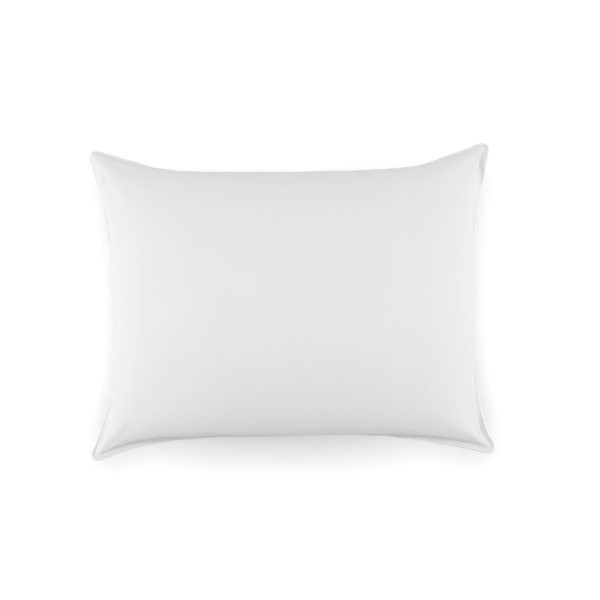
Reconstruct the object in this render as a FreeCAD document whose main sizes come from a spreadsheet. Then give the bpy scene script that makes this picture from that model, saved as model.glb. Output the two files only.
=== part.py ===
import FreeCAD, Part
import math
import os

import Sketcher

from FreeCAD import Vector

# Bed pillow, 20 x 26 inch class: a cotton shell of two panels with a corded, double-stitched edge,
# filled with down. Millimetres, +X along the length, +Z up, origin under the middle of the pillow.
# The edge is one layered ring at seam height: back panel, tail of the piping tape, front panel.

SIZES = (
    ("tip_length", 654, "over the two end corners, along X"),
    ("tip_width", 513, "over the two side corners, along Y"),
    ("end_bow", 35.5, "how far each short end draws in between its corners"),
    ("side_bow", 45.5, "how far each long side draws in between its corners"),
    ("corner_radius", 18, "rounding of the rim at each corner"),
    ("crown_height", 97, "top of the pillow above the seam"),
    ("base_height", 85, "seam above the surface the pillow rests on"),
    ("belly_depth", 110, "depth of the underside before its weight presses it flat"),
    ("cloth_thick", 0.8, "down-proof cotton, felled at the edge"),
    ("fill_gap", 0.3, "between the cloth and the fill"),
    ("piping_diameter", 4.4, "over the tape at the rim"),
    ("tape_thick", 0.4, "one layer of the bias tape"),
    ("cord_gap", 0.05, "round the cord, inside the tape"),
    ("panel_gap", 0.1, "from the piping to the edge of each panel"),
    ("row_margin", 1.2, "from the piping to the first row of stitches"),
    ("row_spacing", 2.6, "between the two rows of stitches"),
    ("crown_margin", 1.4, "from the second row to where the panels part"),
    ("allowance", 2.5, "length of tape tail inside the shell"),
    ("thread_diameter", 0.45, "sewing thread"),
    ("thread_gap", 0.03, "under a thread that lies on cloth"),
    ("overlock_diameter", 1.0, "bundle of overlock thread on the raw edge"),
    ("closing_length", 180, "of the opening that the pillow is filled through"),
    ("label_width", 25, "along the seam"),
    ("label_drop", 45, "from the seam to the fold of the label"),
    ("label_thick", 0.25, "one layer of satin tape"),
    ("label_slit", 0.3, "between the two layers of the label"),
)

# heights of the loft's sections, as shares of a panel's height
SECTION_SHARES = (0.0, 0.12, 0.28, 0.46, 0.64, 0.8, 0.92, 1.0)
CROWN_LEVEL = 0.97  # level of the small flat at the very top, where 1 is the peak of the dome
CORNER_SHARE = 0.5  # of a section's half-width that its corners are rounded by, near the top
CORNER_FULLNESS = 0.08  # how much fuller than an oval the corners of the highest sections stay
DIAGONAL = 1 - math.sqrt(0.5)  # share of a radius between a rounded corner's reach and its arc
STRAIGHT = 1e-6  # a side that bows less than this is a straight line

doc = FreeCAD.newDocument("bed_pillow")


def make_sheet():
    sheet = doc.addObject("Spreadsheet::Sheet", "sizes")
    for row, (alias, value, note) in enumerate(SIZES, start=1):
        sheet.set(f"A{row}", alias)
        sheet.set(f"B{row}", str(value))
        sheet.set(f"C{row}", note)
        sheet.setAlias(f"B{row}", alias)
    doc.recompute()
    return sheet


sizes = make_sheet()

# rim to middle at the waist, as expressions on the sheet that sketches and solids share
WAIST_X = "(sizes.tip_length / 2 - sizes.end_bow)"
WAIST_Y = "(sizes.tip_width / 2 - sizes.side_bow)"

# insets from the rim, on the same sheet
PIPING = "sizes.piping_diameter / 2"
PANEL_EDGE = "(sizes.piping_diameter + sizes.panel_gap)"
EDGE_ROW = "(sizes.piping_diameter + sizes.row_margin)"
TOP_ROW = f"({EDGE_ROW} + sizes.row_spacing)"
MIDDLE_ROW = f"({EDGE_ROW} + sizes.row_spacing / 2)"
CROWN = f"({TOP_ROW} + sizes.crown_margin)"
TAIL_END = f"({CROWN} + sizes.cloth_thick + sizes.allowance)"
OVERLOCK = f"({TAIL_END} + sizes.cord_gap + sizes.overlock_diameter / 2)"
FILL_WAIST = f"({OVERLOCK} + sizes.overlock_diameter / 2 + sizes.fill_gap)"

# heights, on the same sheet
SEAM = "sizes.base_height"
FRONT_CLOTH = f"({SEAM} + sizes.tape_thick + sizes.cloth_thick)"
BACK_CLOTH = f"({SEAM} - sizes.tape_thick - sizes.cloth_thick)"
ON_FRONT = f"({FRONT_CLOTH} + sizes.thread_gap + sizes.thread_diameter / 2)"
ON_BACK = f"({BACK_CLOTH} - sizes.thread_gap - sizes.thread_diameter / 2)"


def value(expression):
    """An expression on the sheet, as a number in millimetres."""
    return float(sizes.evalExpression(expression))


class Outline:
    """The pillow's plan: four bowed sides between four rounded corners."""

    def __init__(self, half_length, half_width, waist_x, waist_y, radius):
        self.radius = radius
        self.corner = Vector(half_length - radius, half_width - radius, 0)
        self.waist_x = waist_x
        self.waist_y = waist_y
        self.long_end = self.side_end(half_width - waist_y, False)
        self.short_end = self.side_end(half_length - waist_x, True)

    def side_end(self, sag, short):
        """Where a side meets the corner's arc, tangent to it."""
        if abs(sag) < STRAIGHT:
            offset = (self.radius, 0, 0) if short else (0, self.radius, 0)
            return self.corner + Vector(*offset)
        reach = self.corner.y if short else self.corner.x
        bow = reach * reach / (2 * sag) + sag / 2 - self.radius
        centre = Vector(self.waist_x + bow, 0, 0) if short else Vector(0, self.waist_y + bow, 0)
        towards = (centre - self.corner).normalize()
        return self.corner + towards * math.copysign(self.radius, bow)

    def points(self, z):
        """Ends and middles of the arcs, once round from the middle of the +Y side."""
        across = ((self.long_end - self.corner) + (self.short_end - self.corner)).normalize()
        corner_middle = self.corner + across * self.radius
        quarter = (self.long_end, corner_middle, self.short_end)
        right = [*quarter, Vector(self.waist_x, 0, 0)]
        right += [Vector(p.x, -p.y, 0) for p in reversed(quarter)]
        left = [Vector(-p.x, p.y, 0) for p in reversed(right)]
        ring = [*right, Vector(0, -self.waist_y, 0), *left, Vector(0, self.waist_y, 0)]
        return [Vector(p.x, p.y, z) for p in ring]

    def wire(self, z):
        ring = self.points(z)
        ends = range(0, len(ring), 2)
        return Part.Wire([curve(ring[i], ring[i + 1], ring[(i + 2) % len(ring)]) for i in ends])


def curve(start, middle, end):
    """An arc through three points, or the line they lie on."""
    if (middle - start).cross(end - middle).Length < STRAIGHT * (end - start).Length:
        return Part.LineSegment(start, end).toShape()
    return Part.Arc(start, middle, end).toShape()


def rim_outline(inset):
    """The rim's plan, moved in by an inset."""
    return Outline(
        value("sizes.tip_length / 2") - inset,
        value("sizes.tip_width / 2") - inset,
        value(WAIST_X) - inset,
        value(WAIST_Y) - inset,
        value("sizes.corner_radius") - inset,
    )


def dome_outline(base, level):
    """Plan of a crowned panel at a level, 0 at the seam and 1 at the peak: the corners draw in first."""
    side = math.sqrt(1 - level * level)
    diagonal = math.sqrt(1 - level) * (1 + CORNER_FULLNESS * level)
    cut = DIAGONAL * base.radius
    tip_x = base.corner.x + base.radius - cut
    tip_y = base.corner.y + base.radius - cut
    radius = base.radius * (1 - level) + CORNER_SHARE * base.waist_y * side * level
    corner_x = diagonal * (base.waist_x + (tip_x - base.waist_x) * (1 - level))
    corner_y = diagonal * (base.waist_y + (tip_y - base.waist_y) * (1 - level))
    reach = DIAGONAL * radius
    return Outline(corner_x + reach, corner_y + reach, base.waist_x * side, base.waist_y * side, radius)


def dome(inset, seam_z, height, last_level):
    """A crowned solid on the seam plane, upwards or, with a height below zero, downwards."""
    base = rim_outline(inset)
    wires = [
        dome_outline(base, share * last_level).wire(seam_z + share * height)
        for share in SECTION_SHARES
    ]
    return Part.makeLoft(wires, True, False)


def slab(inset, low, high):
    """A flat solid with the rim's plan, moved in by an inset."""
    return Part.Face(rim_outline(inset).wire(low)).extrude(Vector(0, 0, high - low))


def belly_level():
    """Level of the flat that the pillow rests on."""
    return value("sizes.base_height / sizes.belly_depth")


def add_solid(name, shape):
    piece = doc.addObject("Part::Feature", name)
    piece.Label = name
    piece.Shape = shape.removeSplitter()
    piece.Placement = FreeCAD.Placement()
    return piece


def panel(name, side, reach, level):
    """A cotton panel: a crowned skin and its flat edge, side 1 for the front and -1 for the back."""
    thick = value("sizes.cloth_thick")
    inset = value(CROWN)
    start = value(SEAM) + side * value("sizes.tape_thick")
    outer = dome(inset, start, side * reach, level)
    inner = dome(inset + thick, start, side * (reach - thick), level)
    low, high = sorted((start, start + side * thick))
    edge = slab(value(PANEL_EDGE), low, high).cut(slab(inset + thick, low, high))
    return add_solid(name, outer.cut(inner).fuse(edge))


def front_panel():
    return panel("front_panel", 1, value("sizes.crown_height - sizes.tape_thick"), CROWN_LEVEL)


def back_panel():
    return panel("back_panel", -1, value("sizes.base_height - sizes.tape_thick"), belly_level())


def down_fill():
    """The down, which fills the shell up to the raw edges inside the seam."""
    skin = value("sizes.cloth_thick + sizes.fill_gap")
    inset = value(CROWN) + skin
    tape = value("sizes.tape_thick")
    seam = value(SEAM)
    upper = dome(inset, seam + tape, value("sizes.crown_height") - tape - skin, CROWN_LEVEL)
    lower = dome(inset, seam - tape, tape + skin - value("sizes.base_height"), belly_level())
    middle = slab(value(FILL_WAIST), seam - tape, seam + tape)
    low, high = seam - tape - value("sizes.fill_gap"), seam + tape + value("sizes.fill_gap")
    edges = slab(value(CROWN), low, high).cut(slab(value(FILL_WAIST), low, high))
    return add_solid("down_fill", upper.fuse([middle, lower]).cut(edges))


def new_body(name):
    body = doc.addObject("PartDesign::Body", name)
    body.Label = name
    body.Placement = FreeCAD.Placement()
    return body


def new_sketch(body, name, plane, height=None):
    """A sketch on one of its body's own origin planes, lifted by an expression."""
    sketch = body.newObject("Sketcher::SketchObject", name)
    origin_plane = next(f for f in body.Origin.OriginFeatures if f.Role == plane)
    sketch.AttachmentSupport = [(origin_plane, "")]
    sketch.MapMode = "FlatFace"
    if height:
        sketch.setExpression("AttachmentOffset.Base.z", height)
    return sketch


def bind(sketch, kind, references, start, expression):
    """A dimension of a sketch, driven by the sheet."""
    index = sketch.addConstraint(Sketcher.Constraint(kind, *references, start))
    sketch.setExpression(f"Constraints[{index}]", expression)


def corner_expressions():
    reach_x = "(sizes.tip_length / 2 - sizes.corner_radius)"
    reach_y = "(sizes.tip_width / 2 - sizes.corner_radius)"
    return reach_x, reach_y


def side_radius_expressions(inset):
    """Radii of the long and short sides, moved in by an inset, as expressions."""
    reach_x, reach_y = corner_expressions()
    pairs = ((reach_x, "sizes.side_bow"), (reach_y, "sizes.end_bow"))
    return [f"{reach} ^ 2 / (2 * {bow}) + {bow} / 2 - sizes.corner_radius + {inset}" for reach, bow in pairs]


def distance(sketch, first, second, axis, expression):
    """The distance from one point of a sketch to another along X or Y, driven by the sheet."""
    bind(sketch, "Distance" + axis, (*first, *second), value(expression), expression)


class ArcChain:
    """Arcs of a sketch, each tangent to the one before it."""

    def __init__(self, sketch):
        self.sketch = sketch
        self.ends = []

    def add(self, centre, start, end, radius):
        """An arc from one point to the next, with its radius driven by an expression."""
        first = math.atan2(start.y - centre.y, start.x - centre.x)
        sweep = (math.atan2(end.y - centre.y, end.x - centre.x) - first) % math.tau
        forwards = sweep < math.pi
        low = first if forwards else first + sweep - math.tau
        high = first + sweep if forwards else first
        circle = Part.Circle(centre, Vector(0, 0, 1), (start - centre).Length)
        index = self.sketch.addGeometry(Part.ArcOfCircle(circle, low, high), False)
        self.ends.append((index, 1, 2) if forwards else (index, 2, 1))
        return index, radius

    def join(self):
        following = self.ends[1:] + self.ends[:1]
        for (index, _, end), (after, start, _) in zip(self.ends, following):
            self.sketch.addConstraint(Sketcher.Constraint("Tangent", index, end, after, start))


def arc_centre(start, middle, end):
    return Part.Arc(start, middle, end).toShape().Curve.Center


def rim_path(body, inset, height):
    """The rim's plan, moved in by an inset, as a closed sketch that starts on the +Y side."""
    sketch = new_sketch(body, body.Label + "_path", "XY_Plane", height)
    ring = rim_outline(value(inset)).points(0)
    last = len(ring) - 1
    top = ring[last]
    top_centre = arc_centre(ring[last - 1], top, ring[0])
    long_side, short_side = side_radius_expressions(inset)
    corner = f"sizes.corner_radius - {inset}"
    radii = (corner, short_side, corner, long_side, corner, short_side, corner)

    chain = ArcChain(sketch)
    arcs = [chain.add(top_centre, top, ring[0], long_side)]
    for i, radius in zip(range(0, last - 1, 2), radii):
        arcs.append(chain.add(arc_centre(*ring[i:i + 3]), ring[i], ring[i + 2], radius))
    arcs.append(chain.add(top_centre, ring[last - 1], top, long_side))
    chain.join()
    sketch.addConstraint(Sketcher.Constraint("PointOnObject", 0, chain.ends[0][1], -2))
    for index, radius in arcs:
        bind(sketch, "Radius", (index,), value(radius), radius)
    place_corners(sketch, [index for index, radius in arcs if radius == corner])
    return sketch


def place_corners(sketch, corners):
    """The centres of the four corner arcs, clockwise from +X +Y."""
    reach_x, reach_y = corner_expressions()
    origin = (-1, 1)
    for index, right, upper in zip(corners, (1, 1, 0, 0), (1, 0, 0, 1)):
        centre = (index, 3)
        ends_x = (origin, centre) if right else (centre, origin)
        ends_y = (origin, centre) if upper else (centre, origin)
        distance(sketch, *ends_x, "X", reach_x)
        distance(sketch, *ends_y, "Y", reach_y)


def round_profile(body, inset, height, radius, name="profile"):
    """A circle across the path, where it starts on the +Y side."""
    sketch = new_sketch(body, f"{body.Label}_{name}", "YZ_Plane")
    across = f"{WAIST_Y} - {inset}"
    circle = Part.Circle(Vector(value(across), value(height), 0), Vector(0, 0, 1), value(radius))
    index = sketch.addGeometry(circle, False)
    distance(sketch, (-1, 1), (index, 3), "X", across)
    distance(sketch, (-1, 1), (index, 3), "Y", height)
    bind(sketch, "Radius", (index,), value(radius), radius)
    return sketch


def tape_profile(body):
    """The piping tape's section: a loop round the cord and a two-layer tail into the shell."""
    sketch = new_sketch(body, body.Label + "_profile", "YZ_Plane")
    across = f"{WAIST_Y} - {PIPING}"
    tail = f"{WAIST_Y} - {TAIL_END}"
    thick = value("sizes.tape_thick")
    radius = value(PIPING)
    centre = Vector(value(across), value(SEAM), 0)
    opening = math.asin(thick / radius)
    loop = Part.ArcOfCircle(Part.Circle(centre, Vector(0, 0, 1), radius), opening - math.pi, math.pi - opening)
    upper_end = centre + Vector(-radius * math.cos(opening), thick, 0)
    lower_end = upper_end - Vector(0, 2 * thick, 0)
    tail_top = Vector(value(tail), centre.y + thick, 0)
    tail_low = tail_top - Vector(0, 2 * thick, 0)
    lines = ((upper_end, tail_top), (tail_top, tail_low), (tail_low, lower_end))

    sketch.addGeometry(loop, False)
    for start, end in lines:
        sketch.addGeometry(Part.LineSegment(start, end), False)
    for pair in ((0, 2, 1, 1), (1, 2, 2, 1), (2, 2, 3, 1), (3, 2, 0, 1)):
        sketch.addConstraint(Sketcher.Constraint("Coincident", *pair))
    for line, direction in ((1, "Horizontal"), (2, "Vertical"), (3, "Horizontal")):
        sketch.addConstraint(Sketcher.Constraint(direction, line))
    distance(sketch, (-1, 1), (0, 3), "X", across)
    distance(sketch, (-1, 1), (0, 3), "Y", SEAM)
    distance(sketch, (-1, 1), (2, 1), "X", tail)
    distance(sketch, (0, 3), (2, 1), "Y", "sizes.tape_thick")
    distance(sketch, (2, 2), (0, 3), "Y", "sizes.tape_thick")
    bind(sketch, "Radius", (0,), radius, PIPING)
    return sketch


def sweep_round_rim(body, path, profile, kind="AdditivePipe"):
    pipe = body.newObject("PartDesign::" + kind, f"{body.Label}_{kind}")
    pipe.Profile = profile
    pipe.Spine = (path, [])
    pipe.Mode = "Standard"
    pipe.Transition = "Transformed"
    return body


def rim_strand(name, inset, height, radius):
    """A round strand that follows the rim."""
    body = new_body(name)
    path = rim_path(body, inset, height)
    return sweep_round_rim(body, path, round_profile(body, inset, height, radius))


def piping_tape():
    body = new_body("piping_tape")
    path = rim_path(body, PIPING, SEAM)
    sweep_round_rim(body, path, tape_profile(body))
    doc.recompute()
    channel = round_profile(body, PIPING, SEAM, f"{PIPING} - sizes.tape_thick", "channel")
    return sweep_round_rim(body, path, channel, "SubtractivePipe")


def piping_cord():
    return rim_strand("piping_cord", PIPING, SEAM, f"{PIPING} - sizes.tape_thick - sizes.cord_gap")


def overlock_thread():
    return rim_strand("overlock_thread", OVERLOCK, SEAM, "sizes.overlock_diameter / 2")


def edge_row(name, inset, height):
    return rim_strand(name, inset, height, "sizes.thread_diameter / 2")


def closing_row(name, height):
    """The row that shuts the filled shell, bowed with the -X side between the rim's two rows."""
    body = new_body(name)
    sketch = new_sketch(body, name + "_profile", "XZ_Plane")
    across = f"{WAIST_X} - {MIDDLE_ROW}"
    bow = side_radius_expressions(MIDDLE_ROW)[1]
    swing = f"{across} + {bow}"
    centre = Vector(-value(across), value(height), 0)
    radius = "sizes.thread_diameter / 2"
    thread = sketch.addGeometry(Part.Circle(centre, Vector(0, 0, 1), value(radius)), False)
    low = Vector(-value(swing), 0, 0)
    high = Vector(-value(swing), value(height), 0)
    axis = sketch.addGeometry(Part.LineSegment(low, high), True)
    distance(sketch, (thread, 3), (-1, 1), "X", across)
    distance(sketch, (-1, 1), (thread, 3), "Y", height)
    bind(sketch, "Radius", (thread,), value(radius), radius)
    sketch.addConstraint(Sketcher.Constraint("Vertical", axis))
    sketch.addConstraint(Sketcher.Constraint("PointOnObject", axis, 1, -1))
    distance(sketch, (axis, 1), (-1, 1), "X", swing)
    distance(sketch, (-1, 1), (axis, 2), "Y", height)

    turn = body.newObject("PartDesign::Revolution", name + "_turn")
    turn.Profile = sketch
    turn.ReferenceAxis = (sketch, ["Axis0"])
    turn.Midplane = True
    turn.setExpression("Angle", f"sizes.closing_length / ({bow}) * 180 / pi")
    return body


def care_label():
    """A blank satin label, folded double, that hangs from the +Y side under the edge."""
    body = new_body("care_label")
    sketch = new_sketch(body, "care_label_profile", "YZ_Plane")
    middle = f"({WAIST_Y} - {MIDDLE_ROW})"
    outer = "(sizes.label_slit / 2 + sizes.label_thick)"
    inner = "sizes.label_slit / 2"
    fold = f"({SEAM} - sizes.label_drop)"
    inside = f"{fold} + sizes.label_thick"
    corners = (
        (f"{middle} - {outer}", BACK_CLOTH),
        (f"{middle} - {outer}", fold),
        (f"{middle} + {outer}", fold),
        (f"{middle} + {outer}", BACK_CLOTH),
        (f"{middle} + {inner}", BACK_CLOTH),
        (f"{middle} + {inner}", inside),
        (f"{middle} - {inner}", inside),
        (f"{middle} - {inner}", BACK_CLOTH),
    )
    right_angled_outline(sketch, corners)
    pad = body.newObject("PartDesign::Pad", "care_label_pad")
    pad.Profile = sketch
    pad.Midplane = True
    pad.setExpression("Length", "sizes.label_width")
    return body


def right_angled_outline(sketch, corners):
    """Lines through corners given as expressions, first down and then across, by turns."""
    places = [Vector(value(across), value(up), 0) for across, up in corners]
    count = len(places)
    for i, start in enumerate(places):
        sketch.addGeometry(Part.LineSegment(start, places[(i + 1) % count]), False)
    for i in range(count):
        sketch.addConstraint(Sketcher.Constraint("Coincident", i, 2, (i + 1) % count, 1))
        sketch.addConstraint(Sketcher.Constraint("Horizontal" if i % 2 else "Vertical", i))
    for i in range(0, count, 2):
        distance(sketch, (-1, 1), (i, 1), "X", corners[i][0])
        distance(sketch, (-1, 1), (i + 1, 1), "Y", corners[i + 1][1])


def build_parts():
    parts = [front_panel(), back_panel(), down_fill(), piping_tape(), piping_cord(), overlock_thread()]
    for face, height in (("needle", ON_FRONT), ("bobbin", ON_BACK)):
        parts.append(edge_row(f"edge_seam_{face}_thread", EDGE_ROW, height))
        parts.append(edge_row(f"topstitch_{face}_thread", TOP_ROW, height))
        parts.append(closing_row(f"closing_{face}_thread", height))
    parts.append(care_label())
    return parts


def check_document(parts):
    """Stops before anything is written if an object failed or a piece isn't a sound solid."""
    for item in doc.Objects:
        if {"Invalid", "Error"} & set(item.State):
            raise RuntimeError(f"{item.Name} didn't recompute: {item.State}")
    for part in parts:
        shape = part.Shape
        if shape.isNull() or not shape.isValid() or len(shape.Solids) != 1:
            raise RuntimeError(f"{part.Label} isn't one valid solid")


def export_parts(parts):
    os.makedirs("parts", exist_ok=True)
    for part in parts:
        part.Shape.exportStep(f"parts/{part.Label}.step")
        box = part.Shape.BoundBox
        print(f"{part.Label}: {part.Shape.Volume / 1000:.2f} cm3, z {box.ZMin:.2f} to {box.ZMax:.2f}")


pieces = build_parts()
doc.recompute()
check_document(pieces)
export_parts(pieces)
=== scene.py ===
import math

import bpy
import numpy as np
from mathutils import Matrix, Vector, noise


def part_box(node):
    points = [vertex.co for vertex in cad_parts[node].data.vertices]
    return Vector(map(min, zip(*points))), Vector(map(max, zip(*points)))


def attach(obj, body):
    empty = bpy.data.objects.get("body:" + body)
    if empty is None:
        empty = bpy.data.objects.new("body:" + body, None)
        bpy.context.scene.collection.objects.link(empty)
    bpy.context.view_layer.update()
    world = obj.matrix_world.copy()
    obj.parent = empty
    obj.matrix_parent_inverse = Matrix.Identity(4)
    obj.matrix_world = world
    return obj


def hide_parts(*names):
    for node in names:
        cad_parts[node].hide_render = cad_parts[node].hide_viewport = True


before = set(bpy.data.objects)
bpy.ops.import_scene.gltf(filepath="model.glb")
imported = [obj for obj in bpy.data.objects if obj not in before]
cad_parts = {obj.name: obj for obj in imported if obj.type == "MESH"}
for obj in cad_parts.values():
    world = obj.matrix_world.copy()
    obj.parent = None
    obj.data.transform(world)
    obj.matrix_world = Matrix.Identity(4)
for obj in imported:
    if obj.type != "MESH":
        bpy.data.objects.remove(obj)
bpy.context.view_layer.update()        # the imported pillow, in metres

up = np.array((0.0, 0.0, 1.0))


# sizes that the frame gives

def boxOf(node):
    low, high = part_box(node)
    return np.array(low), np.array(high)


tapeLow, tapeHigh = boxOf("piping_tape")
threadLow, threadHigh = boxOf("topstitch_needle_thread")
closingLow, closingHigh = boxOf("closing_needle_thread")
labelLow, labelHigh = boxOf("care_label")
overlockLow, overlockHigh = boxOf("overlock_thread")

threadRadius = (threadHigh[2] - threadLow[2]) / 2
pipingRadius = (tapeHigh[2] - tapeLow[2]) / 2
seamHeight = (tapeHigh[2] + tapeLow[2]) / 2
halfLength, halfWidth = tapeHigh[0], tapeHigh[1]


def rowInset(node):     # from the rim to the middle of a row of stitches
    return tapeHigh[0] - boxOf(node)[1][0] + threadRadius


topRow = rowInset("topstitch_needle_thread")
edgeRow = rowInset("edge_seam_needle_thread")
closingRow = (topRow + edgeRow) / 2
waistX = closingRow + threadRadius - closingHigh[0]
waistY = (labelLow[1] + labelHigh[1]) / 2 + closingRow

edge = {
    "crownMargin": 0.0014,     # from the second row to where the two panels part
    "clothThick": 0.0005,
    "tailInside": 0.0032,      # tape tail inside the shell
    "samples": 4,              # points along a strand for each cell of cloth
}
crownInset = topRow + edge["crownMargin"]


# the seam is the line where the two panels part
seam = {
    "cut": (0.660, 0.508),     # each panel as cut, less its turnings
    "cell": 0.006,
    # how late each half of a side leaves the waist for its corner: near, right, far, left
    "flare": ((5.0, 3.0), (7.0, 2.2), (3.2, 3.0), (2.2, 4.6)),
    # how far each side draws in, as a share of the frame's bow
    "bowShare": (0.75, 0.81, 1.03, 1.05),
    # each corner moved along X, Y and Z: near left, near right, far right, far left
    "cornerMove": ((0, 0, -0.012), (0, 0, -0.010), (0.005, 0.004, 0.008), (-0.003, 0.009, -0.002)),
    "cornerReach": 0.36,       # share of a side over which a corner's height is felt
    "roundings": 3,
    "wave": 0.0012,            # wander of the seam in the cloth's plane
    "waveLength": 0.045,
}

restHalf = np.array(seam["cut"]) / 2 - crownInset
cellsX = round(2 * restHalf[0] / seam["cell"])
cellsY = round(2 * restHalf[1] / seam["cell"])

# the border of the grid, once round from the near left corner
border = (
    [(i, 0) for i in range(cellsX)]
    + [(cellsX, j) for j in range(cellsY)]
    + [(i, cellsY) for i in range(cellsX, 0, -1)]
    + [(0, j) for j in range(cellsY, 0, -1)]
)
borderI = np.array([i for i, j in border])
borderJ = np.array([j for i, j in border])


def waver(place, size, seed):     # smooth noise from -1 to 1 along a line or over a plane
    return noise.noise(Vector((place[0] / size, place[1] / size, seed)))


def seamSide(start, end, startLift, endLift, bow, flares, inward, count):
    share = np.arange(count) / count
    draw = bow * (1 - np.abs(2 * share - 1) ** np.where(share < 0.5, *flares))
    points = start + (end - start) * share[:, None] + inward * draw[:, None]
    reach = seam["cornerReach"]
    fromStart = np.clip(1 - share / reach, 0, 1) ** 2
    fromEnd = np.clip(1 - (1 - share) / reach, 0, 1) ** 2
    points[:, 2] = seamHeight + startLift * fromStart + endLift * fromEnd
    return points


def seamLine():
    tips = []
    for (signX, signY), move in zip(((-1, -1), (1, -1), (1, 1), (-1, 1)), seam["cornerMove"]):
        tips.append(np.array((
            signX * (halfLength - crownInset) + move[0],
            signY * (halfWidth - crownInset) + move[1],
            0.0,
        )))
    bows = (halfWidth - waistY, halfLength - waistX) * 2
    inwards = ((0, 1, 0), (-1, 0, 0), (0, -1, 0), (1, 0, 0))
    counts = (cellsX, cellsY) * 2
    sides = []
    for k in range(4):
        after = (k + 1) % 4
        sides.append(seamSide(
            tips[k], tips[after], seam["cornerMove"][k][2], seam["cornerMove"][after][2],
            bows[k] * seam["bowShare"][k], seam["flare"][k], np.array(inwards[k], float), counts[k],
        ))
    line = np.concatenate(sides)
    corners = [0, cellsX, cellsX + cellsY, 2 * cellsX + cellsY]
    for _ in range(seam["roundings"]):
        smooth = (np.roll(line, 1, 0) + np.roll(line, -1, 0)) / 4 + line / 2
        for corner in corners:
            near = np.arange(corner - 2, corner + 3) % len(line)
            line[near] = smooth[near]
    return line


def unit(vectors):
    return vectors / np.linalg.norm(vectors, axis=-1, keepdims=True)


flange = {
    # degrees below level for near, right, far and left: at the first corner, the middle and the last corner
    "droop": ((10, 58, 12), (22, 72, 46), (46, 70, 42), (58, 74, 24)),
    # how far each end of a side keeps its corner's droop, and over how much more it turns
    "reach": ((0.100, 0.120), (0.070, 0.030), (0.050, 0.060), (0.020, 0.050)),
    "turnReach": 0.045,
    # edge turned up: side, share along it, half length and degrees
    "folds": ((1, 0.060, 0.014, 78), (1, 0.952, 0.019, 118), (0, 0.83, 0.012, 26), (3, 0.93, 0.012, 26)),
    "evening": 5,              # softens the change of droop round a corner
    "flutter": 9,              # degrees of wander
    "flutterLength": 0.032,
}


def easeStep(value):
    value = np.clip(value, 0, 1)
    return value * value * (3 - 2 * value)


class Rim:                     # the seam and the flat edge's own directions at each point of it
    def __init__(self):
        self.line = seamLine()
        step = np.roll(self.line, -1, 0) - self.line
        self.run = np.concatenate(([0], np.cumsum(np.linalg.norm(step, axis=1))))
        self.length = self.run[-1]
        self.run = self.run[:-1]
        level = unit(np.cross(self.along(self.line), up))
        for k, point in enumerate(self.line):
            shift = waver((self.run[k], 0), seam["waveLength"], 3.1) * seam["wave"]
            self.line[k] = point + level[k] * shift
        self.tangent = self.along(self.line)
        level = unit(np.cross(self.tangent, up))
        droop = np.radians(self.droopAngles())[:, None]
        self.out = np.cos(droop) * level - np.sin(droop) * up
        for _ in range(3):
            self.out = unit((np.roll(self.out, 1, 0) + np.roll(self.out, -1, 0)) / 4 + self.out / 2)
        self.face = unit(np.cross(self.out, self.tangent))
        self.radius = self.turnRadius()
        self.level = level
        self.inward, self.within = -self.out, self.face

    def along(self, line):
        return unit(np.roll(line, -1, 0) - np.roll(line, 1, 0))

    def droopAngles(self):
        corners = np.array([0, cellsX, cellsX + cellsY, 2 * cellsX + cellsY, len(self.line)])
        places = np.concatenate((self.run, [self.length]))[corners]
        angles = np.zeros(len(self.run))
        for side, (first, middle, last) in enumerate(flange["droop"]):
            part = slice(corners[side], corners[side + 1])
            run = self.run[part] - places[side]
            whole = places[side + 1] - places[side]
            fromFirst = easeStep((run - flange["reach"][side][0]) / flange["turnReach"])
            fromLast = easeStep((whole - run - flange["reach"][side][1]) / flange["turnReach"])
            angles[part] = middle + (first - middle) * (1 - fromFirst) + (last - middle) * (1 - fromLast)
            for where, share, half, lift in flange["folds"]:
                if where == side:
                    angles[part] -= lift * np.exp(-((run - share * whole) / half) ** 2)
        for _ in range(flange["evening"]):
            angles = (np.roll(angles, 1) + np.roll(angles, -1)) / 4 + angles / 2
        wander = [waver((place, 0), flange["flutterLength"], 7.7) for place in self.run]
        return angles + flange["flutter"] * np.array(wander)

    def turnRadius(self):          # how tightly the seam bends at each point, at its tightest nearby
        bend = np.linalg.norm(np.roll(self.tangent, -1, 0) - np.roll(self.tangent, 1, 0), axis=1)
        near = np.max([np.roll(bend, k) for k in range(-2, 3)], axis=0)
        return 2 * self.length / len(self.line) / np.maximum(near, 1e-6)

    def lookInside(self, front, back):     # inside the shell, midway between the panels
        inner = (np.clip(borderI, 3, cellsX - 3), np.clip(borderJ, 3, cellsY - 3))
        self.inward = unit(unit((front[inner] + back[inner]) / 2 - self.line) - self.level)
        for _ in range(2):
            self.inward = unit(np.roll(self.inward, 1, 0) + np.roll(self.inward, -1, 0) + 2 * self.inward)
        self.within = unit(np.cross(self.tangent, self.inward))

    def ring(self, out, lift):     # outwards along the flat edge, or into the shell, and off its face
        if out < 0:
            depth = np.minimum(-out, 0.4 * self.radius)[:, None]
            return self.line + self.inward * depth + self.within * lift
        return self.line + self.out * out + self.face * lift


def splineRing(ring, samples):     # the smooth closed curve that these points control
    before, after, beyond = np.roll(ring, 1, 0), np.roll(ring, -1, 0), np.roll(ring, -2, 0)
    rows = []
    for k in range(samples):
        t = k / samples
        rows.append((
            (1 - t) ** 3 * before + (3 * t ** 3 - 6 * t ** 2 + 4) * ring
            + (-3 * t ** 3 + 3 * t ** 2 + 3 * t + 1) * after + t ** 3 * beyond
        ) / 6)
    return np.stack(rows, axis=1).reshape(-1, ring.shape[1])


rim = Rim()
print("seam line", round(rim.length, 3), "m,", len(rim.line), "points")


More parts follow.
